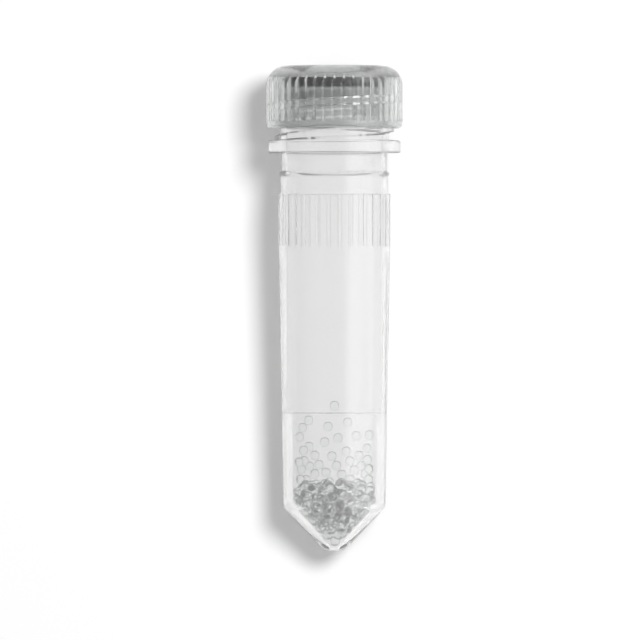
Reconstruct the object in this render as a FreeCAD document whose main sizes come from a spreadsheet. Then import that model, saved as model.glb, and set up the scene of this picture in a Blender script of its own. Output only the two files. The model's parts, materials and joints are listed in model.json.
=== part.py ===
import FreeCAD, Part
import math
import os
import random

import Sketcher

# A 2 ml screw-cap tube with a conical end, its ribbed cap with a sealing ring, and the glass
# beads that it comes filled with. Every piece is drawn upright on the Z axis, with heights
# measured from the outside of the tip, and the front of the tube faces -Y. At the end they are
# laid down together, as the closed tube comes to rest on its side, with the cap towards +Y.

SIZES = {
    # outside of the tube, from the tip upwards
    "tipRadius": 1.0,
    "tipRound": 1.0,
    "coneHeight": 4.15,
    "coneRound": 1.0,
    "bodyFootRadius": 4.93,
    "bodyTopRadius": 5.37,
    "bodyHeight": 25.05,
    "gripRadius": 5.4,
    "gripHeight": 5.0,
    "gripRound": 0.08,
    "grooveCount": 30,
    "grooveWidth": 0.26,
    "grooveDepth": 0.1,
    "bandRadius": 5.2,
    "bandHeight": 1.7,
    "ridgeRadius": 5.33,
    "ridgeHeight": 0.5,
    "neckRadius": 5.1,
    "neckHeight": 1.7,
    "collarRadius": 6.36,
    "collarHeight": 1.25,
    "collarRound": 0.2,
    "finishRadius": 5.2,
    "finishHeight": 5.05,
    "mouthRound": 0.12,
    "mouthChamfer": 0.25,
    # inside of the tube
    "coneWall": 0.85,
    "floorThickness": 0.6,
    "lowBoreRadius": 4.05,
    "boreConeRound": 0.5,
    "stepHeight": 13.15,
    "stepLength": 0.12,
    "boreRadius": 4.6,
    # thread of the tube
    "threadPitch": 1.9,
    "threadDepth": 0.55,
    "threadRoot": 1.0,
    "threadCrest": 0.5,
    "threadTurns": 2.15,
    "threadLift": 0.15,
    "threadEmbed": 0.1,
    # cap
    "capWall": 0.68,
    "capHeight": 6.0,
    "capTopWall": 1.27,
    "capTopRound": 1.9,
    "capFootRound": 0.35,
    "leadIn": 0.15,
    "rimHeight": 0.65,
    "rimInset": 0.05,
    "ribCount": 44,
    "ribRound": 0.52,
    "ribFlat": 0.01,
    "ribClear": 0.3,
    "capThreadRoot": 0.9,
    "capThreadCrest": 0.4,
    "capThreadTurns": 1.5,
    "threadGap": 0.12,
    "threadSeat": 0.15,
    # plug under the cap's ceiling, and the ring that it carries
    "plugLength": 1.9,
    "plugWall": 0.85,
    "lipHeight": 0.95,
    "lipDepth": 0.19,
    "ringRadius": 4.57,
    "ringSection": 0.86,
    "sealGap": 0.03,
    # beads
    "beadDiameter": 1.0,
    "beadGap": 0.02,
    "beadCount": 175,
    "wallBeadCount": 24,
    "wallSpread": 85.0,
}

# Places that follow from the sizes: heights above the tip, and radii
PLACES = {
    "coneSlope": "=(Sizes.bodyFootRadius - Sizes.tipRadius) / Sizes.coneHeight",
    "coneInset": "=Sizes.coneWall * sqrt(1 + coneSlope ^ 2)",
    "floorRadius": "=Sizes.tipRadius + Sizes.floorThickness * coneSlope - coneInset",
    "boreConeTop": "=(Sizes.lowBoreRadius + coneInset - Sizes.tipRadius) / coneSlope",
    "stepTop": "=Sizes.stepHeight + Sizes.stepLength",
    "gripFoot": "=Sizes.coneHeight + Sizes.bodyHeight",
    "gripTop": "=gripFoot + Sizes.gripHeight",
    "grooveCentre": "=Sizes.gripRadius + Sizes.grooveWidth / 2 - Sizes.grooveDepth",
    "ridgeFoot": "=gripTop + Sizes.bandHeight",
    "ridgeMiddle": "=ridgeFoot + Sizes.ridgeHeight / 2",
    "ridgeTop": "=ridgeFoot + Sizes.ridgeHeight",
    "collarFoot": "=ridgeTop + Sizes.neckHeight",
    "collarTop": "=collarFoot + Sizes.collarHeight",
    "mouth": "=collarTop + Sizes.finishHeight",
    "chamferFoot": "=mouth - Sizes.mouthChamfer",
    "mouthRadius": "=Sizes.boreRadius + Sizes.mouthChamfer",
    "threadFoot": "=collarTop + Sizes.threadLift",
    "threadBase": "=Sizes.finishRadius - Sizes.threadEmbed",
    "threadTip": "=Sizes.finishRadius + Sizes.threadDepth",
    "rootBelow": "=threadFoot - Sizes.threadRoot / 2",
    "rootAbove": "=threadFoot + Sizes.threadRoot / 2",
    "crestBelow": "=threadFoot - Sizes.threadCrest / 2",
    "crestAbove": "=threadFoot + Sizes.threadCrest / 2",
    "ringHeight": "=Sizes.ringRadius - Sizes.boreRadius + chamferFoot"
    " + sqrt(2) * (Sizes.ringSection / 2 + Sizes.sealGap)",
    "ceiling": "=ringHeight + Sizes.ringSection / 2 + Sizes.sealGap",
    "capTop": "=ceiling + Sizes.capTopWall",
    "capFoot": "=capTop - Sizes.capHeight",
    "skirtRadius": "=threadTip + Sizes.threadGap",
    "capRadius": "=skirtRadius + Sizes.capWall",
    "rimRadius": "=capRadius - Sizes.rimInset",
    "leadRadius": "=skirtRadius + Sizes.leadIn",
    "leadTop": "=capFoot + Sizes.leadIn",
    "capThreadTip": "=Sizes.finishRadius + Sizes.threadGap",
    "capThreadBase": "=skirtRadius + Sizes.threadEmbed",
    "capThreadFoot": "=threadFoot + Sizes.threadPitch + Sizes.threadSeat",
    "capRootBelow": "=capThreadFoot - Sizes.capThreadRoot / 2",
    "capRootAbove": "=capThreadFoot + Sizes.capThreadRoot / 2",
    "capCrestBelow": "=capThreadFoot - Sizes.capThreadCrest / 2",
    "capCrestAbove": "=capThreadFoot + Sizes.capThreadCrest / 2",
    "ribFoot": "=capFoot + Sizes.rimHeight",
    "ribCentre": "=capRadius + Sizes.ribFlat - Sizes.ribRound",
    "ribAcross": "=ribCentre * cos(180 / Sizes.ribCount)",
    "ribAside": "=ribCentre * sin(180 / Sizes.ribCount)",
    "ribCutEnd": "=capRadius + Sizes.ribClear",
    "plugRadius": "=Sizes.ringRadius - Sizes.ringSection / 2 - Sizes.sealGap",
    "plugBore": "=plugRadius - Sizes.plugWall",
    "plugFoot": "=ceiling - Sizes.plugLength",
    "lipTop": "=plugFoot + Sizes.lipHeight",
    "lipMiddle": "=lipTop - Sizes.lipDepth",
    "lipRadius": "=plugRadius + Sizes.lipDepth",
}

# Loose beads that cling to the back wall above the others: across from the axis, and height
CLINGING_BEADS = [
    (0.0, 13.9),
    (-0.64, 11.9),
    (-0.98, 10.4),
    (-3.19, 11.8),
    (-2.6, 12.5),
    (-3.45, 10.9),
    (0.35, 10.8),
    (1.33, 12.3),
    (2.2, 11.0),
    (3.45, 11.1),
    (-2.56, 9.8),
    (1.18, 9.5),
    (3.26, 9.8),
]
DROPS_PER_BEAD = 6
FINEST_ROLL = 0.01
ROLL_DIRECTIONS = 8
BEAD_SEED = 11

doc = FreeCAD.newDocument("BeadTube")


def fill_sheet(label, cells):
    sheet = doc.addObject("Spreadsheet::Sheet", label)
    for row, (name, content) in enumerate(cells.items(), start=1):
        sheet.set(f"A{row}", name)
        sheet.set(f"B{row}", str(content))
        sheet.setAlias(f"B{row}", name)
    doc.recompute()
    return sheet


sizes = fill_sheet("Sizes", SIZES)
places = fill_sheet("Places", PLACES)

# In an outline, the axis is radius None and the tip's level is height None
AXIS = None
GROUND = None
LEFT, RIGHT = -1, 1


def value(name):
    if name is None:
        return 0.0
    sheet = sizes if name in SIZES else places
    return float(sheet.get(name))


def cell(name):
    sheet = "Sizes" if name in SIZES else "Places"
    return f"{sheet}.{name}"


def new_body(label):
    body = doc.addObject("PartDesign::Body", label.title().replace("_", ""))
    body.Label = label
    return body


def new_sketch(body, name, plane):
    sketch = body.newObject("Sketcher::SketchObject", name)
    origin_plane = next(one for one in body.Origin.OriginFeatures if one.Role == plane)
    sketch.AttachmentSupport = [(origin_plane, "")]
    sketch.MapMode = "FlatFace"
    return sketch


def tie(sketch, kind, point, name, side=RIGHT):
    # holds a point at a distance from the origin that the sheets give
    if name is None:
        axis_line = -2 if kind == "DistanceX" else -1
        sketch.addConstraint(Sketcher.Constraint("PointOnObject", *point, axis_line))
        return
    ends = (-1, 1, *point) if side == RIGHT else (*point, -1, 1)
    index = sketch.addConstraint(Sketcher.Constraint(kind, *ends, value(name)))
    sketch.setExpression(f"Constraints[{index}]", cell(name))


def draw_outline(sketch, corners, side=RIGHT):
    points = [FreeCAD.Vector(side * value(radius), value(height), 0) for radius, height in corners]
    followers = points[1:] + points[:1]
    for start, end in zip(points, followers):
        sketch.addGeometry(Part.LineSegment(start, end), False)
    for line in range(len(points)):
        after = (line + 1) % len(points)
        sketch.addConstraint(Sketcher.Constraint("Coincident", line, 2, after, 1))
    for line, (radius, height) in enumerate(corners):
        tie(sketch, "DistanceX", (line, 1), radius, side)
        tie(sketch, "DistanceY", (line, 1), height)


def draw_circle(sketch, diameter, across, up):
    centre = FreeCAD.Vector(value(across), value(up), 0)
    circle = Part.Circle(centre, FreeCAD.Vector(0, 0, 1), value(diameter) / 2)
    sketch.addGeometry(circle, False)
    index = sketch.addConstraint(Sketcher.Constraint("Diameter", 0, value(diameter)))
    sketch.setExpression(f"Constraints[{index}]", cell(diameter))
    tie(sketch, "DistanceX", (0, 3), across)
    tie(sketch, "DistanceY", (0, 3), up)


def revolve(body, name, sketch):
    turned = body.newObject("PartDesign::Revolution", name)
    turned.Profile = sketch
    turned.ReferenceAxis = (sketch, ["V_Axis"])
    turned.Angle = 360
    doc.recompute()


def edge_round_axis(shape, radius, height):
    for index, edge in enumerate(shape.Edges, start=1):
        if not isinstance(edge.Curve, Part.Circle):
            continue
        same_radius = abs(edge.Curve.Radius - value(radius)) < 1e-4
        same_height = abs(edge.Curve.Center.z - value(height)) < 1e-4
        if same_radius and same_height:
            return f"Edge{index}"
    raise ValueError(f"no round edge at {radius}, {height}")


def round_edges(body, name, size, *corners):
    base = body.Tip
    edges = [edge_round_axis(base.Shape, radius, height) for radius, height in corners]
    rounding = body.newObject("PartDesign::Fillet", name)
    rounding.Base = (base, edges)
    rounding.setExpression("Radius", cell(size))
    doc.recompute()


def run_thread(body, name, corners, turns, side):
    profile = new_sketch(body, name + "Profile", "XZ_Plane")
    draw_outline(profile, corners, side)
    thread = body.newObject("PartDesign::AdditiveHelix", name)
    thread.Profile = profile
    thread.ReferenceAxis = (profile, ["V_Axis"])
    thread.Mode = "pitch-turns-angle"
    thread.setExpression("Pitch", cell("threadPitch"))
    thread.setExpression("Turns", cell(turns))
    doc.recompute()


def draw_valley(sketch):
    # what is cut between two ribs: their round flanks meet in a sharp valley on the X axis
    across, aside = value("ribAcross"), value("ribAside")
    size, end = value("ribRound"), value("ribCutEnd")
    lean = math.asin(aside / size)
    up = FreeCAD.Vector(0, 0, 1)
    first_circle = Part.Circle(FreeCAD.Vector(across, aside, 0), up, size)
    second_circle = Part.Circle(FreeCAD.Vector(across, -aside, 0), up, size)
    first_top = FreeCAD.Vector(across + size, aside, 0)
    second_top = FreeCAD.Vector(across + size, -aside, 0)
    first_end = FreeCAD.Vector(end, aside, 0)
    second_end = FreeCAD.Vector(end, -aside, 0)
    sketch.addGeometry(Part.ArcOfCircle(first_circle, -lean, 0), False)
    sketch.addGeometry(Part.LineSegment(first_top, first_end), False)
    sketch.addGeometry(Part.LineSegment(first_end, second_end), False)
    sketch.addGeometry(Part.LineSegment(second_end, second_top), False)
    sketch.addGeometry(Part.ArcOfCircle(second_circle, 0, lean), False)
    for line in range(5):
        after = (line + 1) % 5
        sketch.addConstraint(Sketcher.Constraint("Coincident", line, 2, after, 1))
    index = sketch.addConstraint(Sketcher.Constraint("Radius", 0, size))
    sketch.setExpression(f"Constraints[{index}]", cell("ribRound"))
    sketch.addConstraint(Sketcher.Constraint("Equal", 0, 4))
    for arc, top, side in ((0, 2, RIGHT), (4, 1, LEFT)):
        tie(sketch, "DistanceX", (arc, 3), "ribAcross")
        tie(sketch, "DistanceY", (arc, 3), "ribAside", side)
        sketch.addConstraint(Sketcher.Constraint("Horizontal", arc, 3, arc, top))
    sketch.addConstraint(Sketcher.Constraint("Horizontal", 1))
    sketch.addConstraint(Sketcher.Constraint("Vertical", 2))
    sketch.addConstraint(Sketcher.Constraint("Horizontal", 3))
    tie(sketch, "DistanceX", (2, 1), "ribCutEnd")


def cut_ring(body, name, section, foot, length, count):
    # cuts one section upwards from its foot, and again at even steps round the outside
    section.setExpression("AttachmentOffset.Base.z", cell(foot))
    groove = body.newObject("PartDesign::Pocket", name)
    groove.Profile = section
    groove.Reversed = True
    groove.setExpression("Length", length)
    doc.recompute()
    ring = body.newObject("PartDesign::PolarPattern", name + "Ring")
    ring.Originals = [groove]
    ring.Axis = (section, ["N_Axis"])
    ring.Angle = 360
    ring.setExpression("Occurrences", cell(count))
    body.Tip = ring
    doc.recompute()


# Tube: one moulding, turned from one outline, then grooved and threaded


def make_tube():
    body = new_body("tube")
    outline = new_sketch(body, "TubeOutline", "XZ_Plane")
    corners = [
        (AXIS, GROUND),
        ("tipRadius", GROUND),
        ("bodyFootRadius", "coneHeight"),
        ("bodyTopRadius", "gripFoot"),
        ("gripRadius", "gripFoot"),
        ("gripRadius", "gripTop"),
        ("bandRadius", "gripTop"),
        ("bandRadius", "ridgeFoot"),
        ("ridgeRadius", "ridgeMiddle"),
        ("neckRadius", "ridgeTop"),
        ("neckRadius", "collarFoot"),
        ("collarRadius", "collarFoot"),
        ("collarRadius", "collarTop"),
        ("finishRadius", "collarTop"),
        ("finishRadius", "mouth"),
        ("mouthRadius", "mouth"),
        ("boreRadius", "chamferFoot"),
        ("boreRadius", "stepTop"),
        ("lowBoreRadius", "stepHeight"),
        ("lowBoreRadius", "boreConeTop"),
        ("floorRadius", "floorThickness"),
        (AXIS, "floorThickness"),
    ]
    draw_outline(outline, corners)
    revolve(body, "TubeWall", outline)
    round_edges(body, "TipRounding", "tipRound", ("tipRadius", GROUND))
    round_edges(body, "ConeRounding", "coneRound", ("bodyFootRadius", "coneHeight"))
    round_edges(body, "BoreConeRounding", "boreConeRound", ("lowBoreRadius", "boreConeTop"))
    round_edges(body, "GripRounding", "gripRound", ("gripRadius", "gripTop"))
    collar_edges = [("collarRadius", "collarFoot"), ("collarRadius", "collarTop")]
    round_edges(body, "CollarRounding", "collarRound", *collar_edges)
    round_edges(body, "MouthRounding", "mouthRound", ("finishRadius", "mouth"))
    groove = new_sketch(body, "GrooveSection", "XY_Plane")
    draw_circle(groove, "grooveWidth", "grooveCentre", None)
    cut_ring(body, "Groove", groove, "gripFoot", "Sizes.gripHeight", "grooveCount")
    thread_corners = [
        ("threadBase", "rootBelow"),
        ("threadTip", "crestBelow"),
        ("threadTip", "crestAbove"),
        ("threadBase", "rootAbove"),
    ]
    run_thread(body, "NeckThread", thread_corners, "threadTurns", LEFT)
    return body


# Cap: one moulding, with a plug under its ceiling for the sealing ring


def make_cap():
    body = new_body("cap")
    outline = new_sketch(body, "CapOutline", "XZ_Plane")
    corners = [
        (AXIS, "capTop"),
        ("capRadius", "capTop"),
        ("capRadius", "ribFoot"),
        ("rimRadius", "ribFoot"),
        ("rimRadius", "capFoot"),
        ("leadRadius", "capFoot"),
        ("skirtRadius", "leadTop"),
        ("skirtRadius", "ceiling"),
        ("plugRadius", "ceiling"),
        ("plugRadius", "lipTop"),
        ("lipRadius", "lipMiddle"),
        ("plugRadius", "plugFoot"),
        ("plugBore", "plugFoot"),
        ("plugBore", "ceiling"),
        (AXIS, "ceiling"),
    ]
    draw_outline(outline, corners)
    revolve(body, "CapShell", outline)
    round_edges(body, "CapTopRounding", "capTopRound", ("capRadius", "capTop"))
    round_edges(body, "CapFootRounding", "capFootRound", ("rimRadius", "capFoot"))
    valley = new_sketch(body, "ValleySection", "XY_Plane")
    draw_valley(valley)
    cut_ring(body, "Valley", valley, "ribFoot", "Places.capTop - Places.ribFoot", "ribCount")
    thread_corners = [
        ("capThreadBase", "capRootBelow"),
        ("capThreadTip", "capCrestBelow"),
        ("capThreadTip", "capCrestAbove"),
        ("capThreadBase", "capRootAbove"),
    ]
    run_thread(body, "CapThread", thread_corners, "capThreadTurns", RIGHT)
    return body


def make_ring():
    body = new_body("o_ring")
    section = new_sketch(body, "RingSection", "XZ_Plane")
    draw_circle(section, "ringSection", "ringRadius", "ringHeight")
    revolve(body, "Ring", section)
    return body


# Beads: each is dropped in turn, and rolls to the lowest place that it can reach


def bead_reach():
    return value("beadDiameter") / 2 + value("beadGap")


def wall_height(across):
    # how low a bead's centre can lie at this distance from the axis
    slope = value("coneSlope")
    cone_reach = bead_reach() * math.sqrt(1 + slope**2)
    on_cone = (across + cone_reach + value("coneInset") - value("tipRadius")) / slope
    return max(on_cone, value("floorThickness") + bead_reach())


def rest_height(x, y, settled, pitch):
    height = wall_height(math.hypot(x, y))
    for other_x, other_y, other_z in settled:
        beside = (x - other_x) ** 2 + (y - other_y) ** 2
        if beside < pitch**2:
            height = max(height, other_z + math.sqrt(pitch**2 - beside))
    return height


def roll_down(x, y, settled, pitch, widest):
    height = rest_height(x, y, settled, pitch)
    step = pitch / 2
    while step > FINEST_ROLL:
        moved = False
        for turn in range(ROLL_DIRECTIONS):
            angle = turn * 2 * math.pi / ROLL_DIRECTIONS
            near_x = x + step * math.cos(angle)
            near_y = y + step * math.sin(angle)
            if math.hypot(near_x, near_y) > widest:
                continue
            lower = rest_height(near_x, near_y, settled, pitch)
            if lower < height:
                x, y, height = near_x, near_y, lower
                moved = True
                break
        if not moved:
            step /= 2
    return x, y, height


def settle_bead(settled, pitch, chance):
    # the lowest of a few drops
    widest = value("lowBoreRadius") - bead_reach()
    drops = []
    for _ in range(DROPS_PER_BEAD):
        angle = chance.uniform(0, 2 * math.pi)
        out = widest * math.sqrt(chance.random())
        place = roll_down(out * math.cos(angle), out * math.sin(angle), settled, pitch, widest)
        drops.append(place)
    return min(drops, key=lambda place: place[2])


def line_wall(settled, pitch, chance):
    # on the back wall, straight above the beads that are there, at the lowest of a few places
    out = value("lowBoreRadius") - bead_reach()
    drops = []
    for _ in range(DROPS_PER_BEAD):
        angle = math.radians(chance.uniform(-1, 1) * value("wallSpread"))
        x, y = out * math.sin(angle), out * math.cos(angle)
        drops.append((x, y, rest_height(x, y, settled, pitch)))
    return min(drops, key=lambda place: place[2])


def cling(across, height, settled, pitch):
    bore = "boreRadius" if height > value("stepTop") else "lowBoreRadius"
    out = value(bore) - bead_reach()
    y = math.sqrt(out**2 - across**2)
    while any(math.dist((across, y, height), other) < pitch for other in settled):
        height += value("beadGap")
    return across, y, height


def make_beads():
    pitch = value("beadDiameter") + value("beadGap")
    chance = random.Random(BEAD_SEED)
    centres = []
    for _ in range(int(value("beadCount"))):
        centres.append(settle_bead(centres, pitch, chance))
    for _ in range(int(value("wallBeadCount"))):
        centres.append(line_wall(centres, pitch, chance))
    for across, height in CLINGING_BEADS:
        centres.append(cling(across, height, centres, pitch))
    radius = value("beadDiameter") / 2
    balls = [Part.makeSphere(radius, FreeCAD.Vector(*centre)) for centre in centres]
    beads = doc.addObject("Part::Feature", "Beads")
    beads.Label = "beads"
    beads.Shape = Part.makeCompound(balls)
    return beads


# The closed tube lies on the rounding at its cone and on whichever edge stands out most beyond
# it. A valley of the cap points down, so that the cap stands on the ribs at both sides of it.


def rib_reach():
    # how far below the axis the two lowest ribs reach: the near edges of their flat crests
    centre, outside = value("ribCentre"), value("capRadius")
    off_crest = (centre**2 + outside**2 - value("ribRound") ** 2) / (2 * centre * outside)
    return outside * math.cos(math.pi / value("ribCount") - math.acos(off_crest))


def rounding_centre(corner, size, first_lean, second_lean):
    # where a rounding between two walls has its centre; each wall leans so many degrees inwards
    inward = FreeCAD.Vector(0, 0, 0)
    normals = []
    for lean in (first_lean, second_lean):
        turn = math.radians(lean)
        normals.append(FreeCAD.Vector(-math.cos(turn), math.sin(turn), 0))
        inward += normals[-1]
    reach = value(size) / (1 + normals[0].dot(normals[1]))
    return FreeCAD.Vector(value(corner[0]), value(corner[1]), 0) + inward * reach


def lying_placement():
    cone_lean = math.degrees(math.atan(value("coneSlope")))
    taper = (value("bodyTopRadius") - value("bodyFootRadius")) / value("bodyHeight")
    body_lean = math.degrees(math.atan(taper))
    foot = rounding_centre(("bodyFootRadius", "coneHeight"), "coneRound", cone_lean, body_lean)
    rim = rounding_centre(("rimRadius", "capFoot"), "capFootRound", 90, 0)
    collar = rounding_centre(("collarRadius", "collarFoot"), "collarRound", 90, 0)
    supports = [
        (FreeCAD.Vector(rib_reach(), value("ribFoot"), 0), 0.0),
        (rim, value("capFootRound")),
        (collar, value("collarRound")),
    ]
    tilts = []
    for centre, size in supports:
        across = centre - foot
        spare = math.asin((value("coneRound") - size) / across.Length)
        tilts.append(math.atan2(across.x, across.y) - spare)
    tilt = max(tilts)
    down = FreeCAD.Vector(math.cos(tilt), -math.sin(tilt), 0)
    along = FreeCAD.Vector(math.sin(tilt), math.cos(tilt), 0)
    lift = foot.dot(down) + value("coneRound")
    tip = rounding_centre(("tipRadius", GROUND), "tipRound", 90, cone_lean)
    top = rounding_centre(("capRadius", "capTop"), "capTopRound", -90, 0)
    near_end = FreeCAD.Vector(-tip.x, tip.y, 0).dot(along) - value("tipRound")
    far_end = top.dot(along) + value("capTopRound")
    turn = FreeCAD.Rotation(FreeCAD.Vector(1, 0, 0), math.degrees(tilt) - 90)
    return FreeCAD.Placement(FreeCAD.Vector(0, -(near_end + far_end) / 2, lift), turn)


# Build, lay down, check and write


def check(pieces):
    for one in doc.Objects:
        if "Invalid" in one.State or "Error" in one.State:
            raise RuntimeError(f"{one.Label} did not build: {one.State}")
    for piece in pieces:
        if piece.Shape.isNull() or not piece.Shape.isValid() or not piece.Shape.Solids:
            raise RuntimeError(f"{piece.Label} is not a valid solid")


pieces = [make_tube(), make_cap(), make_ring(), make_beads()]
lying = lying_placement()
for piece in pieces:
    piece.Placement = lying
doc.recompute()
check(pieces)

os.makedirs("parts", exist_ok=True)
for piece in pieces:
    piece.Shape.exportStep(f"parts/{piece.Label}.step")
    print(piece.Label, len(piece.Shape.Solids), "solids,", round(piece.Shape.Volume, 3), "mm3")
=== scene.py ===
import json
import math
import bpy
from mathutils import Matrix, Vector


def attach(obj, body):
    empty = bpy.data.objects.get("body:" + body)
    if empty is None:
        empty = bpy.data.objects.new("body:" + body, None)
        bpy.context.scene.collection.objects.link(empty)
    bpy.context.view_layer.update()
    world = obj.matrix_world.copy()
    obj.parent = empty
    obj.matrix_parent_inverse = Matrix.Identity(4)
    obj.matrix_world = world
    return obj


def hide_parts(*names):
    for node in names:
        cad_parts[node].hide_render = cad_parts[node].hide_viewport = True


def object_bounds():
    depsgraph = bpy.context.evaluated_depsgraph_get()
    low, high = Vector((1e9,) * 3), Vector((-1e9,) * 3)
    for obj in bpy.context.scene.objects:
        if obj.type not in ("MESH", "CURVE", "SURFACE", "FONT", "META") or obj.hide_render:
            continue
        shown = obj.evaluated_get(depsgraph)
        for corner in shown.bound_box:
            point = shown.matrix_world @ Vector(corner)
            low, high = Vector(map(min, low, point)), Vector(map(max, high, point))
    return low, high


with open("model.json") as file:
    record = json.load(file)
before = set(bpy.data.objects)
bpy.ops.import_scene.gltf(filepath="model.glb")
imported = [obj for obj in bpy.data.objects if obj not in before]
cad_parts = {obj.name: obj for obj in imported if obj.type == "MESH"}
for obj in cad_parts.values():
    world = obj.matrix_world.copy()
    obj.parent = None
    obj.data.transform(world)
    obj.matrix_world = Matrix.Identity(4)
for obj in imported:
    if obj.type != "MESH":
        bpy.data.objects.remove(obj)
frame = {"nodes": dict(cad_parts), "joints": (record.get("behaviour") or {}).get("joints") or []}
cadLow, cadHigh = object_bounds()
print("frame loaded")

# The tube's own direction, from tip to cap, is the line that the cap turns about
capTurn = next(joint for joint in frame["joints"] if joint["name"] == "cap_turn")
tubeUp = Vector(capTurn["axis"]).normalized()
tubeAcross = Vector((1.0, 0.0, 0.0))
tubeFront = tubeAcross.cross(tubeUp)  # away from the floor, square to the tube
onAxis = Vector(capTurn["pos_m"])
tipOnAxis = onAxis + tubeUp * (cadLow.y - onAxis.y) / tubeUp.y


# Small helpers for shader trees

def addNode(tree, kind, **settings):
    node = tree.nodes.new(kind)
    for name, value in settings.items():
        setattr(node, name, value)
    return node


def newMaterial(name):
    material = bpy.data.materials.new(name)
    material.use_nodes = True
    tree = material.node_tree
    tree.nodes.clear()
    output = addNode(tree, "ShaderNodeOutputMaterial")
    return material, tree, output


def finishWith(piece, material):
    piece.data.materials.clear()
    piece.data.materials.append(material)


# Moulded surface: cloudy patches and fine ripples that all pieces share in their own strength

mouldedNoise = {
    "cloudDetail": 3.0,
    "rippleDetail": 2.0,
    "cloudLow": 0.3,  # where the noise gives the smoothest surface
    "cloudHigh": 0.7,  # where it gives the roughest
}


def makeMouldedSurface():
    group = bpy.data.node_groups.new("mouldedSurface", "ShaderNodeTree")
    face = group.interface
    for name, value in (("Cloud Scale", 200.0), ("Ripple Scale", 900.0), ("Low", 0.1), ("High", 0.2)):
        face.new_socket(name=name, in_out="INPUT", socket_type="NodeSocketFloat").default_value = value
    face.new_socket(name="Roughness", in_out="OUTPUT", socket_type="NodeSocketFloat")
    face.new_socket(name="Ripple", in_out="OUTPUT", socket_type="NodeSocketFloat")
    inputs = addNode(group, "NodeGroupInput")
    outputs = addNode(group, "NodeGroupOutput")
    place = addNode(group, "ShaderNodeTexCoord")
    cloud = addNode(group, "ShaderNodeTexNoise")
    cloud.inputs["Detail"].default_value = mouldedNoise["cloudDetail"]
    ripple = addNode(group, "ShaderNodeTexNoise")
    ripple.inputs["Detail"].default_value = mouldedNoise["rippleDetail"]
    spread = addNode(group, "ShaderNodeMapRange")
    spread.inputs["From Min"].default_value = mouldedNoise["cloudLow"]
    spread.inputs["From Max"].default_value = mouldedNoise["cloudHigh"]
    link = group.links.new
    link(place.outputs["Object"], cloud.inputs["Vector"])
    link(place.outputs["Object"], ripple.inputs["Vector"])
    link(inputs.outputs["Cloud Scale"], cloud.inputs["Scale"])
    link(inputs.outputs["Ripple Scale"], ripple.inputs["Scale"])
    link(cloud.outputs["Fac"], spread.inputs["Value"])
    link(inputs.outputs["Low"], spread.inputs["To Min"])
    link(inputs.outputs["High"], spread.inputs["To Max"])
    link(spread.outputs["Result"], outputs.inputs["Roughness"])
    link(ripple.outputs["Fac"], outputs.inputs["Ripple"])
    return group


mouldedSurface = makeMouldedSurface()


def addSurface(tree, finish, shader):
    # places the shared surface in a material and ties it to the shader
    surface = addNode(tree, "ShaderNodeGroup", node_tree=mouldedSurface)
    surface.inputs["Cloud Scale"].default_value = finish["cloudScale"]
    surface.inputs["Ripple Scale"].default_value = finish["rippleScale"]
    surface.inputs["Low"].default_value = finish["smoothest"]
    surface.inputs["High"].default_value = finish["roughest"]
    bump = addNode(tree, "ShaderNodeBump")
    bump.inputs["Strength"].default_value = finish["rippleStrength"]
    bump.inputs["Distance"].default_value = finish["rippleHeight"]
    tree.links.new(surface.outputs["Roughness"], shader.inputs["Roughness"])
    tree.links.new(surface.outputs["Ripple"], bump.inputs["Height"])
    tree.links.new(bump.outputs["Normal"], shader.inputs["Normal"])


# Tube: natural polypropylene, clear with a faint milkiness

tubeFinish = {
    "colour": (0.985, 0.985, 0.985, 1.0),
    "clearness": 0.84,
    "ior": 1.38,
    "cloudScale": 220.0,
    "rippleScale": 900.0,
    "smoothest": 0.02,
    "roughest": 0.06,
    "rippleStrength": 0.2,
    "rippleHeight": 0.00001,
}


def makeClearPlastic(name, finish):
    material, tree, output = newMaterial(name)
    shader = addNode(tree, "ShaderNodeBsdfPrincipled")
    shader.inputs["Base Color"].default_value = finish["colour"]
    shader.inputs["Transmission Weight"].default_value = finish["clearness"]
    shader.inputs["IOR"].default_value = finish["ior"]
    addSurface(tree, finish, shader)
    tree.links.new(shader.outputs["BSDF"], output.inputs["Surface"])
    return material


finishWith(frame["nodes"]["tube"], makeClearPlastic("tubePlastic", tubeFinish))
print("tube finished")


# Cap: clear glossy plastic

capFinish = {
    "colour": (0.885, 0.9, 0.893, 1.0),
    "clearness": 0.97,
    "ior": 1.49,
    "cloudScale": 150.0,
    "rippleScale": 500.0,
    "smoothest": 0.16,
    "roughest": 0.24,
    "rippleStrength": 0.3,
    "rippleHeight": 0.00001,
}

finishWith(frame["nodes"]["cap"], makeClearPlastic("capPlastic", capFinish))
print("cap finished")


# Sealing ring: dark rubber

ringFinish = {
    "colour": (0.008, 0.008, 0.009, 1.0),
    "cloudScale": 400.0,
    "rippleScale": 4000.0,
    "smoothest": 0.35,
    "roughest": 0.6,
    "rippleStrength": 0.4,
    "rippleHeight": 0.00002,
}


def makeRubber():
    material, tree, output = newMaterial("ringRubber")
    shader = addNode(tree, "ShaderNodeBsdfPrincipled")
    shader.inputs["Base Color"].default_value = ringFinish["colour"]
    addSurface(tree, ringFinish, shader)
    tree.links.new(shader.outputs["BSDF"], output.inputs["Surface"])
    return material


finishWith(frame["nodes"]["o_ring"], makeRubber())
print("ring finished")


# Beads: one small ball at the middle of each solid bead

beadSizes = {
    "radius": 0.0005,
    "roundness": 4,  # points along each edge of the cube that is blown up into a ball
    "weldWithin": 1e-7,  # joins the loose faces of a solid bead
    "oneWithin": 1e-5,  # joins all points of a bead once they are at its middle
}

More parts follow.
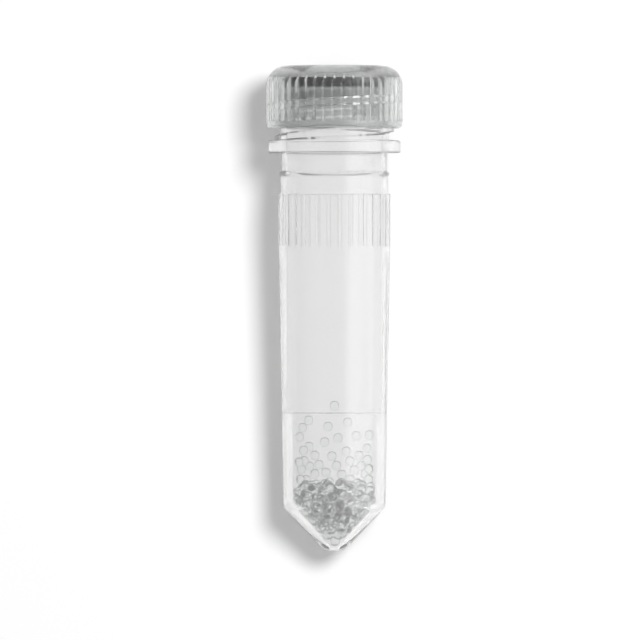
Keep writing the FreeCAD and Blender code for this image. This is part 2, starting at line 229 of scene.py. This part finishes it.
beadFinish = {
    "colour": (0.965, 0.98, 0.972, 1.0),
    # painted shade at the beads' rims
    "rimPaintedShade": (0.14, 0.16, 0.15, 1.0),
    "rimStart": 0.32,
    "rimEnd": 0.8,
    "rimLow": 0.6,
    "rimHigh": 1.25,
    "clearness": 1.0,
    "ior": 1.5,
    "cloudScale": 1500.0,
    "rippleScale": 2500.0,
    "smoothest": 0.0,
    "roughest": 0.05,
    "rippleStrength": 0.1,
    "rippleHeight": 0.00001,
}


def makeBeadTree(material):
    tree = bpy.data.node_groups.new("beadPile", "GeometryNodeTree")
    face = tree.interface
    face.new_socket(name="Geometry", in_out="INPUT", socket_type="NodeSocketGeometry")
    face.new_socket(name="Radius", in_out="INPUT", socket_type="NodeSocketFloat")
    face.new_socket(name="Roundness", in_out="INPUT", socket_type="NodeSocketInt")
    face.new_socket(name="Geometry", in_out="OUTPUT", socket_type="NodeSocketGeometry")
    inputs = addNode(tree, "NodeGroupInput")
    outputs = addNode(tree, "NodeGroupOutput")
    weld = addNode(tree, "GeometryNodeMergeByDistance")
    weld.inputs["Distance"].default_value = beadSizes["weldWithin"]
    island = addNode(tree, "GeometryNodeInputMeshIsland")
    position = addNode(tree, "GeometryNodeInputPosition")
    total = addNode(tree, "GeometryNodeAccumulateField", data_type="FLOAT_VECTOR", domain="POINT")
    count = addNode(tree, "GeometryNodeAccumulateField", data_type="INT", domain="POINT")
    middle = addNode(tree, "ShaderNodeVectorMath", operation="DIVIDE")
    moveToMiddle = addNode(tree, "GeometryNodeSetPosition")
    keepOne = addNode(tree, "GeometryNodeMergeByDistance")
    keepOne.inputs["Distance"].default_value = beadSizes["oneWithin"]
    toPoints = addNode(tree, "GeometryNodeMeshToPoints")
    cube = addNode(tree, "GeometryNodeMeshCube")
    outward = addNode(tree, "ShaderNodeVectorMath", operation="NORMALIZE")
    onBall = addNode(tree, "ShaderNodeVectorMath", operation="SCALE")
    ball = addNode(tree, "GeometryNodeSetPosition")
    smooth = addNode(tree, "GeometryNodeSetShadeSmooth")
    place = addNode(tree, "GeometryNodeInstanceOnPoints")
    realize = addNode(tree, "GeometryNodeRealizeInstances")
    dress = addNode(tree, "GeometryNodeSetMaterial")
    dress.inputs["Material"].default_value = material
    link = tree.links.new
    link(inputs.outputs["Geometry"], weld.inputs["Geometry"])
    link(position.outputs[0], total.inputs["Value"])
    link(island.outputs["Island Index"], total.inputs["Group ID"])
    link(island.outputs["Island Index"], count.inputs["Group ID"])
    count.inputs["Value"].default_value = 1
    link(total.outputs["Total"], middle.inputs[0])
    link(count.outputs["Total"], middle.inputs[1])
    link(weld.outputs["Geometry"], moveToMiddle.inputs["Geometry"])
    link(middle.outputs[0], moveToMiddle.inputs["Position"])
    link(moveToMiddle.outputs["Geometry"], keepOne.inputs["Geometry"])
    link(keepOne.outputs["Geometry"], toPoints.inputs["Mesh"])
    for side in ("Vertices X", "Vertices Y", "Vertices Z"):
        link(inputs.outputs["Roundness"], cube.inputs[side])
    link(position.outputs[0], outward.inputs[0])
    link(outward.outputs["Vector"], onBall.inputs[0])
    link(inputs.outputs["Radius"], onBall.inputs["Scale"])
    link(cube.outputs["Mesh"], ball.inputs["Geometry"])
    link(onBall.outputs["Vector"], ball.inputs["Position"])
    link(toPoints.outputs["Points"], place.inputs["Points"])
    link(ball.outputs["Geometry"], smooth.inputs["Geometry"])
    link(smooth.outputs["Geometry"], place.inputs["Instance"])
    link(place.outputs["Instances"], realize.inputs["Geometry"])
    link(realize.outputs["Geometry"], dress.inputs["Geometry"])
    link(dress.outputs["Geometry"], outputs.inputs["Geometry"])
    return tree


def runTree(source, tree, values, name):
    # runs a geometry tree on a copy of a mesh, and returns the result as a plain mesh object
    worker = bpy.data.objects.new(name + "Maker", source.data.copy())
    bpy.context.scene.collection.objects.link(worker)
    modifier = worker.modifiers.new("maker", "NODES")
    modifier.node_group = tree
    for item in tree.interface.items_tree:
        if item.in_out == "INPUT" and item.name in values:
            modifier[item.identifier] = values[item.name]
    graph = bpy.context.evaluated_depsgraph_get()
    mesh = bpy.data.meshes.new_from_object(worker.evaluated_get(graph))
    bpy.data.objects.remove(worker)
    piece = bpy.data.objects.new(name, mesh)
    bpy.context.scene.collection.objects.link(piece)
    return piece


def makeBeadGlass():
    # painted shade: each bead's rim is made darker by the facing angle, most on the side towards the
    # cap, in place of the darker surroundings that a glass ball bends into view
    material = makeClearPlastic("beadGlass", beadFinish)
    tree = material.node_tree
    shader = next(node for node in tree.nodes if node.type == "BSDF_PRINCIPLED")
    facing = addNode(tree, "ShaderNodeLayerWeight")
    place = addNode(tree, "ShaderNodeTexCoord")
    parts = addNode(tree, "ShaderNodeSeparateXYZ")
    # painted shade: the rim is darker on the side of each bead that faces the cap
    shadeTowardsCap = addNode(tree, "ShaderNodeMapRange")
    shadeTowardsCap.inputs["From Min"].default_value = -1.0
    shadeTowardsCap.inputs["To Min"].default_value = beadFinish["rimLow"]
    shadeTowardsCap.inputs["To Max"].default_value = beadFinish["rimHigh"]
    rim = addNode(tree, "ShaderNodeMath", operation="MULTIPLY")
    ring = addNode(tree, "ShaderNodeValToRGB")
    clear, dark = ring.color_ramp.elements
    clear.position = beadFinish["rimStart"]
    clear.color = beadFinish["colour"]
    dark.position = beadFinish["rimEnd"]
    dark.color = beadFinish["rimPaintedShade"]
    tree.links.new(place.outputs["Normal"], parts.inputs["Vector"])
    tree.links.new(parts.outputs["Y"], shadeTowardsCap.inputs["Value"])
    tree.links.new(facing.outputs["Facing"], rim.inputs[0])
    tree.links.new(shadeTowardsCap.outputs["Result"], rim.inputs[1])
    tree.links.new(rim.outputs["Value"], ring.inputs["Fac"])
    tree.links.new(ring.outputs["Color"], shader.inputs["Base Color"])
    return material


beadGlass = makeBeadGlass()
beadValues = {"Radius": beadSizes["radius"], "Roundness": beadSizes["roundness"]}
glassBeads = runTree(frame["nodes"]["beads"], makeBeadTree(beadGlass), beadValues, "glassBeads")
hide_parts("beads")
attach(glassBeads, "tube")
print("beads placed:", len(glassBeads.data.polygons), "faces")


# Floor, room and lamp

room = {
    "floorSize": 3.0,
    "floorGrey": 0.85,
    "floorGreyThrough": 0.2,
    "floorGlow": 0.18,
    "floorGlowThrough": 1.0,
    "floorGlowBeyond": 0.4,
    "nearEdge": 0.01,
    "nearFade": 0.018,
    "skyLight": 0.38,
    "skyBackground": 1.0,
    "skyLeft": 0.3,
    "skyRight": 1.05,
    "throughLeft": 0.3,
    "throughRight": 0.9,
    "softboxStart": 0.45,
    "softboxEnd": 0.97,
    "softboxFade": 0.4,
    "softboxBright": 4.0,
    "softboxThrough": 1.8,
    "softboxMattLimit": 0.5,  # the softbox is left out after the first matt bounce
    "lampDistance": 0.5,
    "lampSize": 0.15,
    "lampLean": 21.0,
    "lampTurn": 34.0,
    "lampPower": 1.72,
}


def blendBy(tree, fraction, low, high):
    # a number that goes from low to high as the fraction goes from 0 to 1
    blend = addNode(tree, "ShaderNodeMapRange")
    tree.links.new(fraction, blend.inputs["Value"])
    for socket, end in (("To Min", low), ("To Max", high)):
        if isinstance(end, (int, float)):
            blend.inputs[socket].default_value = end
        else:
            tree.links.new(end, blend.inputs[socket])
    return blend.outputs["Result"]


def addStep(tree, source, place, width):
    # a soft step from 0 to 1, or down from 1 to 0 where the width is negative
    step = addNode(tree, "ShaderNodeMapRange", interpolation_type="SMOOTHSTEP")
    step.inputs["From Min"].default_value = place - abs(width) / 2
    step.inputs["From Max"].default_value = place + abs(width) / 2
    step.inputs["To Min"].default_value = 0.0 if width > 0 else 1.0
    step.inputs["To Max"].default_value = 1.0 if width > 0 else 0.0
    tree.links.new(source, step.inputs["Value"])
    return step.outputs["Result"]


def addNearness(tree):
    # 1 on the floor under the tube, falling softly to 0 past its outline
    place = addNode(tree, "ShaderNodeTexCoord")
    mirrored = addNode(tree, "ShaderNodeVectorMath", operation="ABSOLUTE")
    past = addNode(tree, "ShaderNodeVectorMath", operation="SUBTRACT")
    past.inputs[1].default_value = (cadHigh.x, cadHigh.y, 0.0)
    outside = addNode(tree, "ShaderNodeVectorMath", operation="MAXIMUM")
    distance = addNode(tree, "ShaderNodeVectorMath", operation="LENGTH")
    tree.links.new(place.outputs["Object"], mirrored.inputs[0])
    tree.links.new(mirrored.outputs["Vector"], past.inputs[0])
    tree.links.new(past.outputs["Vector"], outside.inputs[0])
    tree.links.new(outside.outputs["Vector"], distance.inputs[0])
    return addStep(tree, distance.outputs["Value"], room["nearEdge"], -room["nearFade"])


def makeFloor():
    # seen straight, the floor is white and keeps the shadow; seen through the clear plastic it
    # glows instead, in place of the lamp's light that real plastic lets through to it
    half = room["floorSize"] / 2
    corners = [(-half, -half, 0), (half, -half, 0), (half, half, 0), (-half, half, 0)]
    mesh = bpy.data.meshes.new("floor")
    mesh.from_pydata(corners, [], [(0, 1, 2, 3)])
    floor = bpy.data.objects.new("floor", mesh)
    bpy.context.scene.collection.objects.link(floor)
    material, tree, output = newMaterial("paleFloor")
    path = addNode(tree, "ShaderNodeLightPath")
    through = path.outputs["Is Transmission Ray"]
    matt = addNode(tree, "ShaderNodeBsdfPrincipled")
    matt.inputs["Roughness"].default_value = 1.0
    matt.inputs["Specular IOR Level"].default_value = 0.0
    matt.inputs["Emission Color"].default_value = (1, 1, 1, 1)
    grey = blendBy(tree, through, room["floorGrey"], room["floorGreyThrough"])
    seen = blendBy(tree, path.outputs["Is Glossy Ray"], path.outputs["Is Camera Ray"], 1.0)
    straight = blendBy(tree, seen, 0.0, room["floorGlow"])
    lit = blendBy(tree, addNearness(tree), room["floorGlowBeyond"], room["floorGlowThrough"])
    glow = blendBy(tree, through, straight, lit)
    tree.links.new(grey, matt.inputs["Base Color"])
    tree.links.new(glow, matt.inputs["Emission Strength"])
    tree.links.new(matt.outputs["BSDF"], output.inputs["Surface"])
    finishWith(floor, material)


def makeSky():
    # white to the camera, a plain light on matt things, and in glossy and clear things a room
    # that is darker on the left, with a long softbox beside the tube on the right
    world = bpy.data.worlds.new("room")
    bpy.context.scene.world = world
    world.use_nodes = True
    tree = world.node_tree
    tree.nodes.clear()
    output = addNode(tree, "ShaderNodeOutputWorld")
    sky = addNode(tree, "ShaderNodeBackground")
    path = addNode(tree, "ShaderNodeLightPath")
    place = addNode(tree, "ShaderNodeTexCoord")
    parts = addNode(tree, "ShaderNodeSeparateXYZ")
    tree.links.new(place.outputs["Generated"], parts.inputs["Vector"])
    fromLeft = addNode(tree, "ShaderNodeMapRange")
    fromLeft.inputs["From Min"].default_value = -1.0
    tree.links.new(parts.outputs["X"], fromLeft.inputs["Value"])
    walls = blendBy(tree, fromLeft.outputs["Result"], room["skyLeft"], room["skyRight"])
    wallsThrough = blendBy(tree, fromLeft.outputs["Result"], room["throughLeft"], room["throughRight"])
    rise = addStep(tree, parts.outputs["X"], room["softboxStart"], room["softboxFade"])
    fall = addStep(tree, parts.outputs["X"], room["softboxEnd"], -room["softboxFade"])
    band = addNode(tree, "ShaderNodeMath", operation="MULTIPLY")
    tree.links.new(rise, band.inputs[0])
    tree.links.new(fall, band.inputs[1])
    direct = addNode(tree, "ShaderNodeMath", operation="LESS_THAN")
    direct.inputs[1].default_value = room["softboxMattLimit"]
    tree.links.new(path.outputs["Diffuse Depth"], direct.inputs[0])
    softbox = addNode(tree, "ShaderNodeMath", operation="MULTIPLY")
    tree.links.new(band.outputs["Value"], softbox.inputs[0])
    tree.links.new(direct.outputs["Value"], softbox.inputs[1])
    reflected = blendBy(tree, softbox.outputs["Value"], walls, room["softboxBright"])
    through = blendBy(tree, softbox.outputs["Value"], wallsThrough, room["softboxThrough"])
    glossy = blendBy(tree, path.outputs["Is Glossy Ray"], room["skyLight"], reflected)
    clear = blendBy(tree, path.outputs["Is Transmission Ray"], glossy, through)
    strength = blendBy(tree, path.outputs["Is Camera Ray"], clear, room["skyBackground"])
    tree.links.new(strength, sky.inputs["Strength"])
    tree.links.new(sky.outputs["Background"], output.inputs["Surface"])
    sky.inputs["Color"].default_value = (1, 1, 1, 1)


def makeLamp():
    lean = math.radians(room["lampLean"])
    turn = math.radians(room["lampTurn"])
    away = Vector((math.sin(lean) * math.cos(turn), math.sin(lean) * math.sin(turn), math.cos(lean)))
    data = bpy.data.lights.new("softLamp", "AREA")
    data.shape = "DISK"
    data.size = room["lampSize"]
    data.energy = room["lampPower"]
    lamp = bpy.data.objects.new("softLamp", data)
    lamp.visible_glossy = False  # the softbox in the sky is what shines in the plastic
    lamp.visible_transmission = False
    lamp.location = away * room["lampDistance"]
    lamp.rotation_mode = "QUATERNION"
    lamp.rotation_quaternion = away.to_track_quat("Z", "Y")
    bpy.context.scene.collection.objects.link(lamp)


makeFloor()
makeSky()
makeLamp()
print("room lit")


# Camera: square to the tube, with the photograph's frame at the height of the tube's axis

view = {
    "lens": 600.0,
    "sensor": 36.0,
    "frameWidth": 0.06144,
    "middleAcross": -0.00138,
    "middleUp": 0.02213,
    "nearest": 0.01,
    "farthest": 100.0,
}


def makeCamera():
    distance = view["frameWidth"] * view["lens"] / view["sensor"]
    middle = tipOnAxis + tubeUp * view["middleUp"] + tubeAcross * view["middleAcross"]
    data = bpy.data.cameras.new("camera")
    data.lens = view["lens"]
    data.sensor_width = view["sensor"]
    data.clip_start = view["nearest"]
    data.clip_end = view["farthest"]
    camera = bpy.data.objects.new("camera", data)
    turned = Matrix((tubeAcross, tubeUp, tubeFront)).transposed().to_4x4()
    camera.matrix_world = Matrix.Translation(middle + tubeFront * distance) @ turned
    bpy.context.scene.collection.objects.link(camera)
    bpy.context.scene.camera = camera


makeCamera()
bpy.context.scene.view_settings.view_transform = "Standard"
print("camera set")
